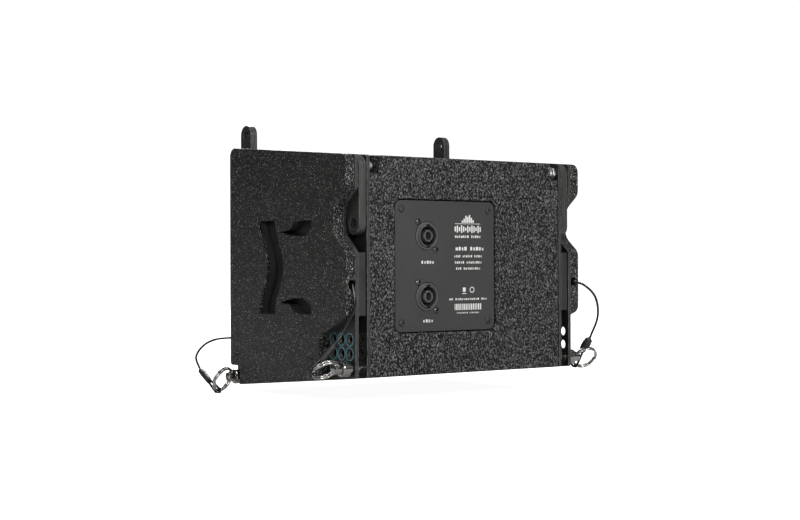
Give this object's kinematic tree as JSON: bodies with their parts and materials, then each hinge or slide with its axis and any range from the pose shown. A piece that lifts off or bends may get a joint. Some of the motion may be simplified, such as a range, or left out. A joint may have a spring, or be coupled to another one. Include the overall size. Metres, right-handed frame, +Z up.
{
  "type": "line array speaker",
  "caption": "Wedge-shaped passive line array cabinet with swing-up and sliding rigging links, quick-release pins on lanyards, and rear speaker connectors.",
  "frame": {"origin": "middle of the sloping bottom face, midway between the sides and between the rear panel and the grille", "axes": "+X to the right side as seen from the front, +Y towards the rear with the connectors, +Z up"},
  "size_m": [0.3136, 0.254, 0.2452],
  "materials": {
    "cabinet_paint": "coarse textured black paint on plywood",
    "cheek_paint": "fine textured black paint",
    "black_steel": "satin black coating",
    "bright_steel": "bright plated steel",
    "charcoal_plate": "smooth charcoal print",
    "black_plastic": "moulded black",
    "lanyard_rubber": "black plastic coated wire rope",
    "black_foam": "open cell foam",
    "cast_frame": "dark cast metal",
    "ferrite": "dark sintered magnet and steel",
    "pulp": "black pulp and treated cloth",
    "copper": "enamelled copper wire",
    "board": "green circuit board"
  },
  "bodies": {
    "cabinet": {"top_panel": "cabinet_paint", "bottom_panel": "cabinet_paint", "side_panel_right": "cabinet_paint", "side_panel_left": "cabinet_paint", "rear_panel": "cabinet_paint", "front_baffle": "cabinet_paint", "side_cheek_right": "cheek_paint", "side_cheek_left": "cheek_paint", "front_grille": "black_steel", "inner_rigging_plate_right": "black_steel", "inner_rigging_plate_left": "black_steel", "outer_rigging_plate_right": "black_steel", "outer_rigging_plate_left": "black_steel", "spacer_block_right": "black_steel", "spacer_block_left": "black_steel", "guide_bolt_right": "black_steel", "guide_bolt_left": "black_steel", "plate_screw_top_right": "black_steel", "plate_screw_bottom_right": "black_steel", "plate_screw_top_left": "black_steel", "plate_screw_bottom_left": "black_steel", "pivot_bolt_right": "bright_steel", "pivot_bolt_left": "bright_steel", "input_connector_screw_upper": "bright_steel", "input_connector_screw_lower": "bright_steel", "link_connector_screw_upper": "bright_steel", "link_connector_screw_lower": "bright_steel", "connector_plate": "charcoal_plate", "input_connector": "black_plastic", "link_connector": "black_plastic", "hf_horn": "black_plastic", "crossover_capacitor": "black_plastic", "wiring_harness": "black_plastic", "front_lanyard_right": "lanyard_rubber", "front_lanyard_left": "lanyard_rubber", "rear_lanyard_right": "lanyard_rubber", "rear_lanyard_left": "lanyard_rubber", "grille_foam": "black_foam", "plate_gasket": "black_foam", "woofer_basket": "cast_frame", "compression_driver": "cast_frame", "woofer_magnet": "ferrite", "woofer_surround": "pulp", "woofer_spider": "pulp", "crossover_inductor": "copper", "crossover_board": "board"},
    "front_link_right": {"front_link_right": "black_steel"},
    "rear_link_right": {"rear_link_right": "black_steel"},
    "front_link_left": {"front_link_left": "black_steel"},
    "rear_link_left": {"rear_link_left": "black_steel"},
    "front_pin_right": {"front_pin_right": "bright_steel"},
    "front_ring_right": {"front_ring_right": "bright_steel"},
    "front_pin_left": {"front_pin_left": "bright_steel"},
    "front_ring_left": {"front_ring_left": "bright_steel"},
    "rear_pin_right": {"rear_pin_right": "bright_steel"},
    "rear_ring_right": {"rear_ring_right": "bright_steel"},
    "rear_pin_left": {"rear_pin_left": "bright_steel"},
    "rear_ring_left": {"rear_ring_left": "bright_steel"},
    "cone": {"woofer_cone": "pulp", "woofer_voice_coil": "copper"}
  },
  "joints": [
    {"name": "front_link_right_slide", "type": "slide", "parent": "cabinet", "child": "front_link_right", "axis": [0, 0, 1], "range_m": [-0.022, 0]},
    {"name": "rear_link_right_hinge", "type": "hinge", "parent": "cabinet", "child": "rear_link_right", "pos_m": [0, 0.091, 0.18595], "axis": [1, 0, 0], "range_deg": [0, 180]},
    {"name": "front_link_left_slide", "type": "slide", "parent": "cabinet", "child": "front_link_left", "axis": [0, 0, 1], "range_m": [-0.022, 0]},
    {"name": "rear_link_left_hinge", "type": "hinge", "parent": "cabinet", "child": "rear_link_left", "pos_m": [0, 0.091, 0.18595], "axis": [1, 0, 0], "range_deg": [0, 180]},
    {"name": "front_pin_right_slide", "type": "slide", "parent": "cabinet", "child": "front_pin_right", "axis": [1, 0, 0], "range_m": [0, 0.03], "deforming": ["front_lanyard_right"]},
    {"name": "front_ring_right_hinge", "type": "hinge", "parent": "front_pin_right", "child": "front_ring_right", "pos_m": [0.1335, -0.084, 0.00025], "axis": [0, 0.454, 0.891], "range_deg": [-80, 40], "deforming": ["front_lanyard_right"]},
    {"name": "front_pin_left_slide", "type": "slide", "parent": "cabinet", "child": "front_pin_left", "axis": [-1, 0, 0], "range_m": [0, 0.03], "deforming": ["front_lanyard_left"]},
    {"name": "front_ring_left_hinge", "type": "hinge", "parent": "front_pin_left", "child": "front_ring_left", "pos_m": [-0.1335, -0.084, 0.00025], "axis": [0, 0.454, 0.891], "range_deg": [-80, 40], "deforming": ["front_lanyard_left"]},
    {"name": "rear_pin_right_slide", "type": "slide", "parent": "cabinet", "child": "rear_pin_right", "axis": [1, 0, 0], "range_m": [0, 0.03], "deforming": ["rear_lanyard_right"]},
    {"name": "rear_ring_right_hinge", "type": "hinge", "parent": "rear_pin_right", "child": "rear_ring_right", "pos_m": [0.1335, 0.0912, 0.01675], "axis": [0, 0.788, 0.6157], "range_deg": [-60, 60], "deforming": ["rear_lanyard_right"]},
    {"name": "rear_pin_left_slide", "type": "slide", "parent": "cabinet", "child": "rear_pin_left", "axis": [-1, 0, 0], "range_m": [0, 0.03], "deforming": ["rear_lanyard_left"]},
    {"name": "rear_ring_left_hinge", "type": "hinge", "parent": "rear_pin_left", "child": "rear_ring_left", "pos_m": [-0.1335, 0.0912, 0.01675], "axis": [0, 0.6428, 0.766], "range_deg": [-50, 70], "deforming": ["rear_lanyard_left"]},
    {"name": "cone_slide", "type": "slide", "parent": "cabinet", "child": "cone", "axis": [0, -1, 0], "range_m": [-0.003, 0.003], "stiffness_N_per_m": 1500, "deforming": ["woofer_surround", "woofer_spider"]}
  ]
}
